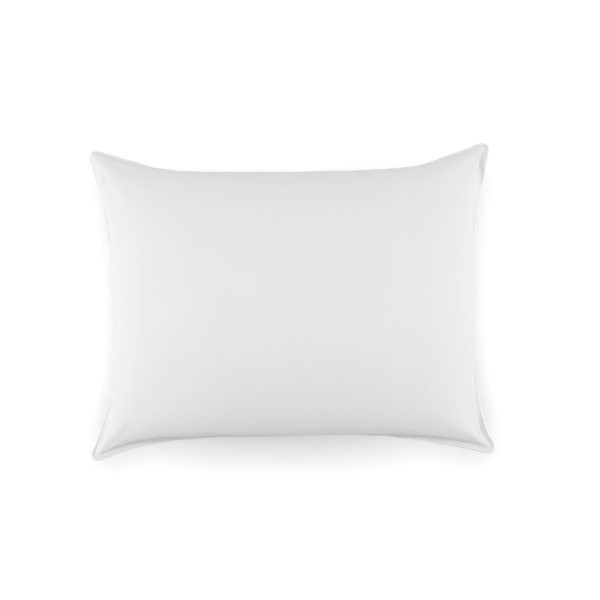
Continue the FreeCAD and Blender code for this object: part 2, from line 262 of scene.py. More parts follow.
# the two panels are cut flat and blown up like a filled shell
crown = {
    "frontRise": 0.098,
    "backDrop": 0.100,
    "startLevel": 0.002,       # lowest point before and after the cloth is blown up
    "restLevel": 0.0006,
    "tableGap": 0.001,
    "tableGrip": 2,
    "pressure": 6.0,
    "frames": 24,
    "quality": 5,
    "stiffness": 40.0,
    "shear": 12.0,
    "bending": 1.2,
    "damping": 6.0,
    "airDrag": 4.0,
    "mass": 0.12,
    "smoothings": 2,
    "smoothing": 0.4,
    "plump": (0.012, 0.004, 0.005, 0.004),     # extra fullness beside each seam: near, right, far, left
    "plumpReach": 0.036,
    "plumpAtCorners": 0.4,     # the lower, the further this fullness runs into the corners
    "leastGap": 0.0036,        # between the panels, one cell in from the seam
    "plumpRise": 0.4,          # how far that fullness goes upwards rather than outwards
}


def edgeRows():                # the seam line as the four edges of the grid
    grid = np.zeros((cellsX + 1, cellsY + 1, 3))
    grid[borderI, borderJ] = rim.line
    return grid


def sampleEdge(edgePoints, shares):
    places = np.linspace(0, 1, len(edgePoints))
    return np.stack([np.interp(shares, places, edgePoints[:, k]) for k in range(3)], axis=-1)


def domeGrid(rise):            # a first guess: the seam's edges blended over the panel, and a dome on them
    grid = edgeRows()
    across = np.linspace(0, 1, cellsX + 1)[:, None] * np.ones((1, cellsY + 1))
    along = np.ones((cellsX + 1, 1)) * np.linspace(0, 1, cellsY + 1)[None, :]
    swellX, swellY = np.sin(np.pi * across), np.sin(np.pi * along)
    u = across + ((1 - np.cos(np.pi * across)) / 2 - across) * np.abs(swellY) ** 0.6
    v = along + ((1 - np.cos(np.pi * along)) / 2 - along) * np.abs(swellX) ** 0.6
    near, far = sampleEdge(grid[:, 0], u), sampleEdge(grid[:, -1], u)
    left, right = sampleEdge(grid[0], v), sampleEdge(grid[-1], v)
    u, v = u[..., None], v[..., None]
    cornersBlend = (
        (1 - u) * (1 - v) * grid[0, 0] + u * (1 - v) * grid[-1, 0]
        + (1 - u) * v * grid[0, -1] + u * v * grid[-1, -1]
    )
    blend = (1 - v) * near + v * far + (1 - u) * left + u * right - cornersBlend
    blend[..., 2] += rise * swellX * swellY
    blend[borderI, borderJ] = rim.line
    return blend


def gridNumbers():             # vertex numbers of the front grid and the back grid, which share the seam
    front = np.arange((cellsX + 1) * (cellsY + 1)).reshape(cellsX + 1, cellsY + 1)
    back = front.copy()
    inner = back[1:-1, 1:-1]
    inner[:] = np.arange(inner.size).reshape(inner.shape) + front.size
    return front, back


def gridFaces(numbers, flip=False):
    quads = np.stack((numbers[:-1, :-1], numbers[1:, :-1], numbers[1:, 1:], numbers[:-1, 1:]), axis=-1)
    quads = quads.reshape(-1, 4)
    return (quads[:, ::-1] if flip else quads).tolist()


def meshFrom(name, points, faces):
    mesh = bpy.data.meshes.new(name)
    mesh.from_pydata([tuple(map(float, p)) for p in points], [], faces)
    mesh.update()
    return mesh


def newObject(name, mesh):
    made = bpy.data.objects.new(name, mesh)
    bpy.context.scene.collection.objects.link(made)
    return made


def restPoints(front, back):   # every point of the shell as it lay in the flat cloth
    share = np.stack(np.meshgrid(
        np.linspace(-1, 1, cellsX + 1), np.linspace(-1, 1, cellsY + 1), indexing="ij"), axis=-1)
    flat = np.zeros((back.max() + 1, 3))
    flat[front, :2] = share * restHalf
    flat[back, :2] = share * restHalf
    return flat


def blowUp(points, faces, flat, pinned):
    shell = newObject("shell", meshFrom("shell", points, faces))
    shell.shape_key_add(name="Basis")
    rest = shell.shape_key_add(name="cut")
    rest.data.foreach_set("co", flat.astype(np.float32).ravel())
    group = shell.vertex_groups.new(name="seam")
    group.add([int(k) for k in pinned], 1.0, "REPLACE")

    table = newObject("table", meshFrom(
        "table", ((-1, -1, 0), (1, -1, 0), (1, 1, 0), (-1, 1, 0)), [(0, 1, 2, 3)]))
    table.modifiers.new("table", "COLLISION")
    table.collision.thickness_outer = crown["tableGap"]
    table.collision.cloth_friction = crown["tableGrip"]

    cloth = shell.modifiers.new("cloth", "CLOTH")
    values = cloth.settings
    values.quality = crown["quality"]
    values.mass = crown["mass"]
    values.tension_stiffness = values.compression_stiffness = crown["stiffness"]
    values.shear_stiffness = crown["shear"]
    values.bending_stiffness = crown["bending"]
    values.tension_damping = values.compression_damping = values.shear_damping = crown["damping"]
    values.air_damping = crown["airDrag"]
    values.use_pressure = True
    values.uniform_pressure_force = crown["pressure"]
    values.vertex_group_mass = "seam"
    values.rest_shape_key = rest
    values.effector_weights.gravity = 0
    cloth.collision_settings.use_collision = True
    cloth.collision_settings.use_self_collision = False
    cloth.collision_settings.distance_min = crown["tableGap"]
    cloth.point_cache.frame_start, cloth.point_cache.frame_end = 1, crown["frames"]

    scene = bpy.context.scene
    for number in range(1, crown["frames"] + 1):
        scene.frame_set(number)
    result = shell.evaluated_get(bpy.context.evaluated_depsgraph_get()).to_mesh()
    settled = np.empty(len(points) * 3, np.float32)
    result.vertices.foreach_get("co", settled)
    for made in (shell, table):
        bpy.data.objects.remove(made)
    scene.frame_set(1)
    return settled.reshape(-1, 3).astype(float)


def smoothGrid(grid):          # evens out the cells, but leaves the seam where it is
    for _ in range(crown["smoothings"]):
        around = (grid[:-2, 1:-1] + grid[2:, 1:-1] + grid[1:-1, :-2] + grid[1:-1, 2:]) / 4
        grid[1:-1, 1:-1] += (around - grid[1:-1, 1:-1]) * crown["smoothing"]
    return grid


def plumpGrid(grid, side):     # fills out the cloth beside the seams
    i, j = np.meshgrid(np.arange(cellsX + 1), np.arange(cellsY + 1), indexing="ij")
    swell = np.zeros(grid.shape[:2])
    for amount, cells, share in zip(
        crown["plump"], (j, cellsX - i, cellsY - j, i), (i / cellsX, j / cellsY, i / cellsX, j / cellsY)
    ):
        reach = cells * seam["cell"] / crown["plumpReach"]
        fade = np.clip(np.sin(math.pi * share), 0, 1) ** crown["plumpAtCorners"]
        swell += amount * reach * np.exp(1 - reach) * fade
    slopeX, slopeY = np.gradient(grid, axis=0), np.gradient(grid, axis=1)
    way = unit(unit(np.cross(slopeX, slopeY)) + up * crown["plumpRise"]) * side
    return grid + way * swell[..., None]


def openPanels(front, back):   # keeps room between the panels for the tape's tail
    middle, apart = (front + back) / 2, front - back
    gap = np.linalg.norm(apart, axis=-1, keepdims=True)
    way = np.where(gap > 1e-4, apart / np.maximum(gap, 1e-9), up)
    inner = np.zeros(gap.shape)
    inner[1:-1, 1:-1] = crown["leastGap"]
    gap = np.maximum(gap, inner)
    return middle + way * gap / 2, middle - way * gap / 2


def filledShell():
    front, back = gridNumbers()
    points = np.zeros((back.max() + 1, 3))
    points[back] = domeGrid(-crown["backDrop"])
    points[front] = domeGrid(crown["frontRise"])
    points[:, 2] = np.maximum(points[:, 2], crown["startLevel"])
    faces = gridFaces(front) + gridFaces(back, flip=True)
    points = blowUp(points, faces, restPoints(front, back), front[borderI, borderJ])
    points[:, 2] = np.maximum(points[:, 2], crown["restLevel"])
    return openPanels(plumpGrid(smoothGrid(points[front]), 1), smoothGrid(points[back]))


frontGrid, backGrid = filledShell()
rim.lookInside(frontGrid, backGrid)
print("shell filled: top at", round(frontGrid[..., 2].max(), 4), "lowest", round(backGrid[..., 2].min(), 4))


def addNode(tree, kind, settings=None, sockets=None):
    node = tree.nodes.new(kind)
    for name, value in (settings or {}).items():
        setattr(node, name, value)
    for key, value in (sockets or {}).items():
        value = getattr(value, "socket", value)
        if isinstance(value, bpy.types.NodeSocket):
            tree.links.new(value, node.inputs[key])
        else:
            node.inputs[key].default_value = value
    return node


class Wire:                    # a socket that can be added, multiplied and so on
    def __init__(self, tree, socket):
        self.tree, self.socket = tree, socket

    def maths(self, operation, *values):
        sockets = dict(enumerate(values))
        node = addNode(self.tree, "ShaderNodeMath", {"operation": operation}, sockets)
        return Wire(self.tree, node.outputs[0])

    def __add__(self, other):
        return self.maths("ADD", self, other)

    def __radd__(self, other):
        return self.maths("ADD", other, self)

    def __sub__(self, other):
        return self.maths("SUBTRACT", self, other)

    def __rsub__(self, other):
        return self.maths("SUBTRACT", other, self)

    def __mul__(self, other):
        return self.maths("MULTIPLY", self, other)

    def __rmul__(self, other):
        return self.maths("MULTIPLY", other, self)

    def __truediv__(self, other):
        return self.maths("DIVIDE", self, other)

    def sin(self):
        return self.maths("SINE", self)

    def size(self):
        return self.maths("ABSOLUTE", self)

    def limit(self, low=0.0, high=1.0):
        sockets = {"Value": self, "Min": low, "Max": high}
        return Wire(self.tree, addNode(self.tree, "ShaderNodeClamp", None, sockets).outputs[0])


class Finish:                  # a material with one Principled shader
    def __init__(self, name, roughness, sheen=0.0, sheenRoughness=0.5, specular=0.3, view=(0.8, 0.8, 0.8)):
        self.material = bpy.data.materials.new(name)
        self.material.use_nodes = True
        self.material.diffuse_color = (*view, 1)
        self.tree = self.material.node_tree
        self.shader = self.tree.nodes["Principled BSDF"]
        self.shader.inputs["Roughness"].default_value = roughness
        self.shader.inputs["Sheen Weight"].default_value = sheen
        self.shader.inputs["Sheen Roughness"].default_value = sheenRoughness
        self.shader.inputs["Specular IOR Level"].default_value = specular

    def add(self, kind, settings=None, sockets=None):
        return addNode(self.tree, kind, settings, sockets)

    def wire(self, socket):
        return Wire(self.tree, socket)

    def place(self):           # the piece's own coordinates, in metres
        return self.add("ShaderNodeTexCoord").outputs["Object"]

    def clothPlace(self):      # warp and weft, in metres along the flat cloth
        uv = self.add("ShaderNodeUVMap", {"uv_map": "cloth"}).outputs[0]
        split = self.add("ShaderNodeSeparateXYZ", None, {0: uv})
        return uv, self.wire(split.outputs[0]), self.wire(split.outputs[1])

    def cloud(self, vector, scale, detail=2.0, roughness=0.5):
        sockets = {"Vector": vector, "Scale": scale, "Detail": detail, "Roughness": roughness}
        return self.wire(self.add("ShaderNodeTexNoise", None, sockets).outputs["Fac"])

    def colour(self, share, low, high):
        sockets = {"Factor": share, 6: (*low, 1), 7: (*high, 1)}
        mix = self.add("ShaderNodeMix", {"data_type": "RGBA"}, sockets)
        self.tree.links.new(mix.outputs[2], self.shader.inputs["Base Color"])

    def relief(self, *layers):  # (height, depth in metres, strength), the coarsest first
        normal = None
        for height, depth, strength in layers:
            sockets = {"Height": height, "Distance": depth, "Strength": strength}
            if normal:
                sockets["Normal"] = normal
            normal = self.add("ShaderNodeBump", None, sockets).outputs[0]
        self.tree.links.new(normal, self.shader.inputs["Normal"])

    def roughen(self, share, low, high):
        self.tree.links.new((share * (high - low) + low).socket, self.shader.inputs["Roughness"])


def plainWeave(finish, u, v, pitch):
    turns = math.pi / pitch
    over = ((u * turns).sin() * (v * turns).sin() * 5 + 0.5).limit()
    warp = 1 - (u * turns + math.pi / 2).sin().size() * 0.6
    weft = 1 - (v * turns + math.pi / 2).sin().size() * 0.6
    return warp * over + weft * (1 - over)


cambric = {"pitch": 0.00042, "light": (0.756, 0.758, 0.764), "dark": (0.724, 0.726, 0.731)}


def cottonCambric():           # the close, smooth cloth that holds down in
    finish = Finish(
        "cotton_cambric", 0.82, sheen=0.12, sheenRoughness=0.45, specular=0.22, view=(0.83, 0.83, 0.84))
    uv, u, v = finish.clothPlace()
    weave = plainWeave(finish, u, v, cambric["pitch"])
    slubs = finish.cloud(uv, 900, 1, 0.4)
    creases = finish.cloud(finish.place(), 26, 3, 0.5)
    patches = finish.cloud(finish.place(), 11, 2, 0.5)
    share = (patches * 0.7 + slubs * 0.15 + weave * 0.15).limit()
    finish.colour(share, cambric["dark"], cambric["light"])
    finish.roughen(weave, 0.9, 0.74)
    finish.relief((creases, 0.0022, 0.35), (slubs, 0.00008, 0.25), (weave, 0.00009, 0.3))
    return finish.material


tapeCloth = {"pitch": 0.00045, "light": (0.785, 0.787, 0.793), "dark": (0.735, 0.736, 0.742)}


def biasTape():                # the same cotton, cut across its grain
    finish = Finish("bias_tape", 0.8, sheen=0.1, sheenRoughness=0.5, specular=0.25, view=(0.84, 0.84, 0.84))
    uv, u, v = finish.clothPlace()
    weave = plainWeave(finish, (u + v) * 0.7071, (u - v) * 0.7071, tapeCloth["pitch"])
    patches = finish.cloud(uv, 60, 2, 0.5)
    finish.colour((patches * 0.7 + weave * 0.3).limit(), tapeCloth["dark"], tapeCloth["light"])
    finish.relief((patches, 0.0004, 0.3), (weave, 0.00009, 0.35))
    return finish.material


def twistedCotton(name, low, high, scale, roughness):
    finish = Finish(name, roughness, sheen=0.2, sheenRoughness=0.6, specular=0.2, view=high)
    fibres = finish.cloud(finish.place(), scale, 3, 0.6)
    finish.colour(fibres, low, high)
    finish.relief((fibres, 0.0001, 0.4))
    return finish.material


def whiteDown():
    finish = Finish("white_down", 0.95, sheen=0.3, sheenRoughness=0.7, specular=0.1, view=(0.8, 0.79, 0.76))
    place = finish.place()
    cells = finish.add("ShaderNodeTexVoronoi", {"feature": "SMOOTH_F1"}, {"Vector": place, "Scale": 70})
    clusters = finish.wire(cells.outputs["Distance"])
    barbs = finish.cloud(place, 600, 3, 0.7)
    finish.colour((clusters * 0.8 + barbs * 0.3).limit(), (0.84, 0.83, 0.8), (0.68, 0.66, 0.61))
    finish.relief((clusters, 0.004, 0.7), (barbs, 0.0004, 0.5))
    return finish.material


def labelSatin():
    finish = Finish(
        "label_satin", 0.42, sheen=0.1, sheenRoughness=0.3, specular=0.5, view=(0.86, 0.86, 0.85))
    uv, u, v = finish.clothPlace()
    ribs = (u * (math.tau / 0.0004)).sin() * 0.5 + 0.5
    patches = finish.cloud(uv, 120, 2, 0.5)
    finish.colour((patches * 0.6 + ribs * 0.4).limit(), (0.82, 0.82, 0.805), (0.88, 0.88, 0.87))
    finish.relief((ribs, 0.00005, 0.3))
    return finish.material


materials = {
    "cambric": cottonCambric(),
    "tape": biasTape(),
    "cord": twistedCotton("cotton_cord", (0.6, 0.57, 0.5), (0.8, 0.78, 0.71), 900, 0.9),
    "thread": twistedCotton("sewing_thread", (0.74, 0.74, 0.75), (0.88, 0.88, 0.89), 1500, 0.55),
    "down": whiteDown(),
    "satin": labelSatin(),
}
print("materials made:", ", ".join(materials))


def finishPiece(piece, slotName, *nodes):
    for polygon in piece.data.polygons:
        polygon.use_smooth = True
    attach(piece, "root")
    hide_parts(*nodes)


def settle(piece):             # the modifiers' result becomes the piece's own mesh
    evaluated = piece.evaluated_get(bpy.context.evaluated_depsgraph_get())
    made = bpy.data.meshes.new_from_object(evaluated)
    piece.modifiers.clear()
    piece.data = made


def clothMap(mesh, flat):      # the flat cloth's own place of every point
    layer = mesh.uv_layers.new(name="cloth")
    corners = np.empty(len(mesh.loops), np.int32)
    mesh.loops.foreach_get("vertex_index", corners)
    layer.data.foreach_set("uv", np.asarray(flat, np.float32)[corners].ravel())


panelEdge = {
    # rows of the flat edge: how far out, and how far off its middle, dipped at each row of stitches
    "rows": (
        (0.0, 0.00085),
        (crownInset - topRow, 0.00062),
        (crownInset - closingRow, 0.00105),
        (crownInset - edgeRow, 0.00066),
        (crownInset - 2 * pipingRadius - 0.0001, 0.00088),
    ),
    "gather": 0.0030,          # height of the small tucks that the seam gathers
    "gatherLength": 0.013,
    "gatherCells": 8,
    "gatherSlant": 0.003,      # how far a tuck shifts sideways with each cell
    "gatherChange": 0.01,      # how fast it changes with each cell
    "gatherStart": 1.5,        # cells over which it rises from the seam
    "gatherFade": 1.5,
    "cornerFold": 0.0022,      # height of the soft folds that run in from a corner
    "cornerReach": 0.07,
    "cornerSpread": 0.24,      # radians from fold to fold
}


def gatherGrid(grid, side, seed):     # tucks and folds that run in from the seam and fade out
    cells = panelEdge["gatherCells"]
    bump = np.zeros(grid.shape[:2])
    for i in range(grid.shape[0]):
        for j in range(grid.shape[1]):
            gaps = (i, cellsX - i, j, cellsY - j)
            near = min(gaps)
            if near == 0:
                continue
            if near <= cells:
                along = (j if gaps.index(near) < 2 else i) * seam["cell"]
                place = (along + panelEdge["gatherSlant"] * near, near * panelEdge["gatherChange"])
                ripple = waver(place, panelEdge["gatherLength"], seed + gaps.index(near))
                rise = min(near / panelEdge["gatherStart"], 1)
                rise *= (1 - near / (cells + 1)) ** panelEdge["gatherFade"]
                bump[i, j] += ripple * rise * panelEdge["gather"]
            across, along = min(gaps[:2]) * seam["cell"], min(gaps[2:]) * seam["cell"]
            away = math.hypot(across, along) / panelEdge["cornerReach"]
            if away < 4:
                corner = 2 * (gaps[0] < gaps[1]) + (gaps[2] < gaps[3])
                turn = math.atan2(along, across) / panelEdge["cornerSpread"]
                fold = noise.noise(Vector((turn, away * 0.5, seed + 5 + corner)))
                bump[i, j] += fold * away * math.exp(1 - away) * panelEdge["cornerFold"]
    slopeX, slopeY = np.gradient(grid, axis=0), np.gradient(grid, axis=1)
    outwards = unit(np.cross(slopeX, slopeY)) * side
    return grid + outwards * bump[..., None]


def panelCloth(name, grid, side, node):
    grid = gatherGrid(grid.copy(), side, 20.5 + side)
    rows = [rim.ring(out, side * lift) for out, lift in panelEdge["rows"]]
    grid[borderI, borderJ] = rows[0]
    count = len(rim.line)
    numbers = np.arange(grid.shape[0] * grid.shape[1]).reshape(grid.shape[:2])
    points = [grid.reshape(-1, 3), *rows[1:]]
    share = np.stack(np.meshgrid(
        np.linspace(-1, 1, cellsX + 1), np.linspace(-1, 1, cellsY + 1), indexing="ij"), axis=-1)
    flatGrid = share * restHalf
    flatEdge = flatGrid[borderI, borderJ]
    flatOut = unit(np.sign(share[borderI, borderJ]) * (np.abs(share[borderI, borderJ]) > 0.9999))
    flat = [flatGrid.reshape(-1, 2)]
    faces = gridFaces(numbers, flip=side < 0)
    inner = numbers[borderI, borderJ]
    start = numbers.size
    for out, lift in panelEdge["rows"][1:]:
        outer = np.arange(count) + start
        quads = np.stack((inner, outer, np.roll(outer, -1), np.roll(inner, -1)), axis=-1)
        faces += (quads if side > 0 else quads[:, ::-1]).tolist()
        flat.append(flatEdge + flatOut * out)
        inner, start = outer, start + count
    mesh = meshFrom(name, np.concatenate(points), faces)
    clothMap(mesh, np.concatenate(flat))
    mesh.materials.append(materials["cambric"])
    piece = newObject(name, mesh)
    smooth = piece.modifiers.new("rounder", "SUBSURF")
    smooth.levels = smooth.render_levels = 1
    wall = piece.modifiers.new("cloth", "SOLIDIFY")
    wall.thickness, wall.offset = edge["clothThick"], -1
    settle(piece)
    finishPiece(piece, "cotton_shell", node)
    return piece


frontCloth = panelCloth("front_panel_cloth", frontGrid, 1, "front_panel")
panelCloth("back_panel_cloth", backGrid, -1, "back_panel")
print("panels:", len(frontCloth.data.polygons), "faces each")


fill = {
    "skin": 0.0030,
    "share": 0.36,
    "lump": 0.4,
    "lumpLength": 0.03,
    "edgeGap": 0.006,
    "edgeKeep": 0.4,           # how much of its own place the outermost row keeps
    "edgePull": 0.6,           # and how much it takes from the next row
}


def downFill():                # the fill, just inside the two panels, with soft clumps
    front, back = gridNumbers()
    gap = np.linalg.norm(frontGrid - backGrid, axis=-1)
    depth = np.minimum(fill["skin"], gap * fill["share"])[..., None]
    points = np.zeros((back.max() + 1, 3))
    for grid, numbers, side in ((backGrid, back, -1), (frontGrid, front, 1)):
        slopeX, slopeY = np.gradient(grid, axis=0), np.gradient(grid, axis=1)
        outwards = unit(np.cross(slopeX, slopeY)) * side
        inside = grid - outwards * depth
        for i in range(grid.shape[0]):
            for j in range(grid.shape[1]):
                lump = noise.noise(Vector(inside[i, j] / fill["lumpLength"]))
                inside[i, j] -= outwards[i, j] * depth[i, j] * fill["lump"] * (0.5 + lump)
        # the outermost cells shrink, so that the edge of the fill stays clear of the seam
        keep, pull = fill["edgeKeep"], fill["edgePull"]
        inside[1] = inside[1] * keep + inside[2] * pull
        inside[-2] = inside[-2] * keep + inside[-3] * pull
        inside[:, 1] = inside[:, 1] * keep + inside[:, 2] * pull
        inside[:, -2] = inside[:, -2] * keep + inside[:, -3] * pull
        points[numbers] = inside
    points[front[borderI, borderJ]] = rim.ring(-fill["edgeGap"], 0)
    mesh = meshFrom("down_fill_loft", points, gridFaces(front) + gridFaces(back, flip=True))
    mesh.materials.append(materials["down"])
    piece = newObject("down_fill_loft", mesh)
    finishPiece(piece, "white_down", "down_fill")


downFill()


# the corded edge
tape = {"thick": 0.00035, "turns": 16, "samples": 5, "tailGap": 0.00002, "tailPoints": 4}


def foldedStrip():             # the tape's section: in along the upper tail, round the cord, and out again
    middle = crownInset - pipingRadius
    radius = pipingRadius - tape["thick"] / 2
    tailEnd = -edge["tailInside"]
    half = tape["thick"] / 2 + tape["tailGap"]
    opening = math.asin(half / radius)
    count = tape["tailPoints"]
    centre = [(tailEnd + (middle - radius - tailEnd) * k / count, half) for k in range(count)]
    for k in range(tape["turns"] + 1):
        angle = math.pi - opening - (math.tau - 2 * opening) * k / tape["turns"]
        centre.append((middle + radius * math.cos(angle), radius * math.sin(angle)))
    centre += [(x, -y) for x, y in reversed(centre[:count])]
    path = np.array(centre)
    step = np.gradient(path, axis=0)
    normal = unit(np.stack((-step[:, 1], step[:, 0]), axis=-1))
    outer = path + normal * tape["thick"] / 2
    inner = path - normal * tape["thick"] / 2
    return np.concatenate((outer, inner[::-1]))


def sweepSection(name, section, samples):
    rings = np.stack([splineRing(rim.ring(x, y), samples) for x, y in section], axis=1)
    count, size = rings.shape[:2]
    numbers = np.arange(count * size).reshape(count, size)
    after, beside = np.roll(numbers, -1, 0), np.roll(numbers, -1, 1)
    quads = np.stack((numbers, after, np.roll(after, -1, 1), beside), axis=-1).reshape(-1, 4)
    mesh = meshFrom(name, rings.reshape(-1, 3), quads.tolist())
    round_ = np.concatenate(([0], np.cumsum(np.linalg.norm(np.diff(section, axis=0), axis=1))))
    along = np.arange(count) / count * rim.length
    flat = np.stack(np.meshgrid(along, round_, indexing="ij"), axis=-1).reshape(-1, 2)
    clothMap(mesh, flat)
    return mesh


def makePiping():
    section = foldedStrip()
    mesh = sweepSection("piping_tape_fold", section, tape["samples"])
    mesh.materials.append(materials["tape"])
    piece = newObject("piping_tape_fold", mesh)
    finishPiece(piece, "cotton_tape", "piping_tape")
    width = 2 * (crownInset - pipingRadius * 2 + edge["tailInside"]) + math.tau * pipingRadius
    return piece


piping = makePiping()
print("piping tape:", len(piping.data.polygons), "faces")


class GeoTree:
    def __init__(self, name):
        self.tree = bpy.data.node_groups.new(name, "GeometryNodeTree")
        for side in ("INPUT", "OUTPUT"):
            self.tree.interface.new_socket("Geometry", in_out=side, socket_type="NodeSocketGeometry")
        self.source = self.tree.nodes.new("NodeGroupInput")
        self.result = self.tree.nodes.new("NodeGroupOutput")
        self.names = {}

    def size(self, name, kind="Float"):
        item = self.tree.interface.new_socket(name, in_out="INPUT", socket_type="NodeSocket" + kind)
        self.names[name] = item.identifier
        return Wire(self.tree, self.source.outputs[name])

    def add(self, kind, settings=None, sockets=None, output=0):
        return Wire(self.tree, addNode(self.tree, kind, settings, sockets).outputs[output])

    def finish(self, geometry, material):
        solid = self.add("GeometryNodeRealizeInstances", None, {0: geometry})
        smooth = self.add("GeometryNodeSetShadeSmooth", None, {0: solid})
        done = self.add("GeometryNodeSetMaterial", None, {0: smooth, "Material": material})
        self.tree.links.new(done.socket, self.result.inputs[0])
        return self

    def run(self, piece, values):
        changer = piece.modifiers.new(self.tree.name, "NODES")
        changer.node_group = self.tree
        for name, value in values.items():
            changer[self.names[name]] = value
        settle(piece)

    def pathTurn(self):        # turned to lie along the path, with Z off the cloth
        tangent = self.add("GeometryNodeInputTangent")
        face = self.add("GeometryNodeInputNamedAttribute", {"data_type": "FLOAT_VECTOR"}, {"Name": "face"})
        first = self.add("FunctionNodeAlignRotationToVector", {"axis": "X"}, {"Vector": tangent})
        return self.add("FunctionNodeAlignRotationToVector", {"axis": "Z", "pivot_axis": "X"},
                        {"Rotation": first, "Vector": face})


stitch = {
    "pitch": 0.0031,
    "share": 0.86,             # of the pitch that a stitch covers
    "slant": math.radians(5),
    "least": 0.9,
    "most": 1.06,
    "proud": 0.35,             # height of its middle above the cloth, as a share of the thread's radius
    "closingPitch": 0.0026,
    "closingLength": closingHigh[1] - closingLow[1],
}


def stitchTree():
    made = GeoTree("stitches")
    pitch, share, radius = made.size("Pitch"), made.size("Share"), made.size("Radius")
    slant, material = made.size("Slant"), made.size("Material", "Material")
    curve = made.add("GeometryNodeMeshToCurve", None, {0: Wire(made.tree, made.source.outputs[0])})
    steps = made.add("GeometryNodeResampleCurve", {"mode": "LENGTH"}, {"Curve": curve, "Length": pitch})
    grain = made.add("GeometryNodeMeshUVSphere", None, {"Segments": 8, "Rings": 5, "Radius": 1.0})
    scale = made.add("ShaderNodeCombineXYZ", None, {0: pitch * share * 0.5, 1: radius, 2: radius})
    grain = made.add("GeometryNodeTransform", None, {0: made.add(
        "GeometryNodeTransform", None, {0: grain, "Rotation": (0, math.pi / 2, 0)}), "Scale": scale})
    turn = made.pathTurn()
    lean = made.add("ShaderNodeCombineXYZ", None, {2: slant})
    lean = made.add("FunctionNodeEulerToRotation", None, {0: lean})
    turn = made.add("FunctionNodeRotateRotation", {"rotation_space": "LOCAL"}, {0: turn, 1: lean})
    size = made.add("FunctionNodeRandomValue", {"data_type": "FLOAT"},
                    {"Min": stitch["least"], "Max": stitch["most"], "Seed": 4}, 1)
    placed = made.add("GeometryNodeInstanceOnPoints", None,
                      {"Points": steps, "Instance": grain, "Rotation": turn, "Scale": size})
    return made.finish(placed, material)


def overlockTree():
    made = GeoTree("overlock")
    pitch, reach, radius = made.size("Pitch"), made.size("Reach"), made.size("Radius")
    slant, material = made.size("Slant"), made.size("Material", "Material")
    curve = made.add("GeometryNodeMeshToCurve", None, {0: Wire(made.tree, made.source.outputs[0])})
    steps = made.add("GeometryNodeResampleCurve", {"mode": "LENGTH"}, {"Curve": curve, "Length": pitch})
    hoop = made.add("GeometryNodeCurvePrimitiveCircle", None, {"Resolution": 9, "Radius": reach})
    strand = made.add("GeometryNodeCurvePrimitiveCircle", None, {"Resolution": 4, "Radius": radius})
    loop = made.add("GeometryNodeCurveToMesh", None, {0: hoop, 1: strand})
    loop = made.add("GeometryNodeTransform", None, {0: loop, "Rotation": (0, math.pi / 2, 0)})
    lean = made.add("ShaderNodeCombineXYZ", None, {2: slant})
    lean = made.add("FunctionNodeEulerToRotation", None, {0: lean})
    turn = made.add("FunctionNodeRotateRotation", {"rotation_space": "LOCAL"}, {0: made.pathTurn(), 1: lean})
    placed = made.add("GeometryNodeInstanceOnPoints", None,
                      {"Points": steps, "Instance": loop, "Rotation": turn})
    return made.finish(placed, material)


def cordTree():
    made = GeoTree("twisted_cord")
    step, radius, lay = made.size("Step"), made.size("Radius"), made.size("Lay")
    material = made.size("Material", "Material")
    curve = made.add("GeometryNodeMeshToCurve", None, {0: Wire(made.tree, made.source.outputs[0])})
    curve = made.add("GeometryNodeResampleCurve", {"mode": "LENGTH"}, {"Curve": curve, "Length": step})
    travelled = made.add("GeometryNodeSplineParameter", None, None, 1)
    curve = made.add("GeometryNodeSetCurveTilt", None, {0: curve, "Tilt": travelled / lay * math.tau})
    strands = made.add("GeometryNodeCurveStar", None,
                       {"Points": 3, "Inner Radius": radius * cord["groove"], "Outer Radius": radius})
    strands = made.add("GeometryNodeSubdivideCurve", None, {0: strands, "Cuts": 1})
    return made.finish(made.add("GeometryNodeCurveToMesh", None, {0: curve, 1: strands}), material)


def pathMesh(name, points, faces, closed):     # a line of points that also knows which way the cloth faces
    count = len(points)
    links = [(k, k + 1) for k in range(count - 1)] + ([(count - 1, 0)] if closed else [])
    mesh = bpy.data.meshes.new(name)
    mesh.from_pydata([tuple(map(float, p)) for p in points], links, [])
    layer = mesh.attributes.new("face", "FLOAT_VECTOR", "POINT")
    layer.data.foreach_set("vector", np.asarray(faces, np.float32).ravel())
    return mesh


def edgePath(name, out, lift, first=None, last=None):
    points = splineRing(rim.ring(out, lift), edge["samples"])
    faces = unit(splineRing(rim.face, edge["samples"]))
    if first is None:
        return newObject(name, pathMesh(name, points, faces, True))
    part = slice(first * edge["samples"], last * edge["samples"])
    return newObject(name, pathMesh(name, points[part], faces[part], False))


stitches = stitchTree()


def stitchRow(name, node, out, side, pitch, first=None, last=None):
    lift = np.interp(crownInset - out, *zip(*sorted((crownInset - o, l) for o, l in panelEdge["rows"])))
    piece = edgePath(name, out, side * (lift + threadRadius * stitch["proud"]), first, last)
    stitches.run(piece, {
        "Pitch": pitch, "Share": stitch["share"], "Radius": threadRadius,
        "Slant": stitch["slant"] * side, "Material": materials["thread"],
    })
    finishPiece(piece, "sewing_thread", node)


middleLeft = 2 * cellsX + cellsY + cellsY // 2
closingCells = round(stitch["closingLength"] / 2 / seam["cell"])
for side, face, thread in ((1, "front", "needle"), (-1, "back", "bobbin")):
    stitchRow(f"edge_seam_{face}", f"edge_seam_{thread}_thread", crownInset - edgeRow, side, stitch["pitch"])
    stitchRow(f"topstitch_{face}", f"topstitch_{thread}_thread", crownInset - topRow, side, stitch["pitch"])
    stitchRow(f"closing_seam_{face}", f"closing_{thread}_thread", crownInset - closingRow, side,
              stitch["closingPitch"], middleLeft - closingCells, middleLeft + closingCells)
print("stitches sewn")

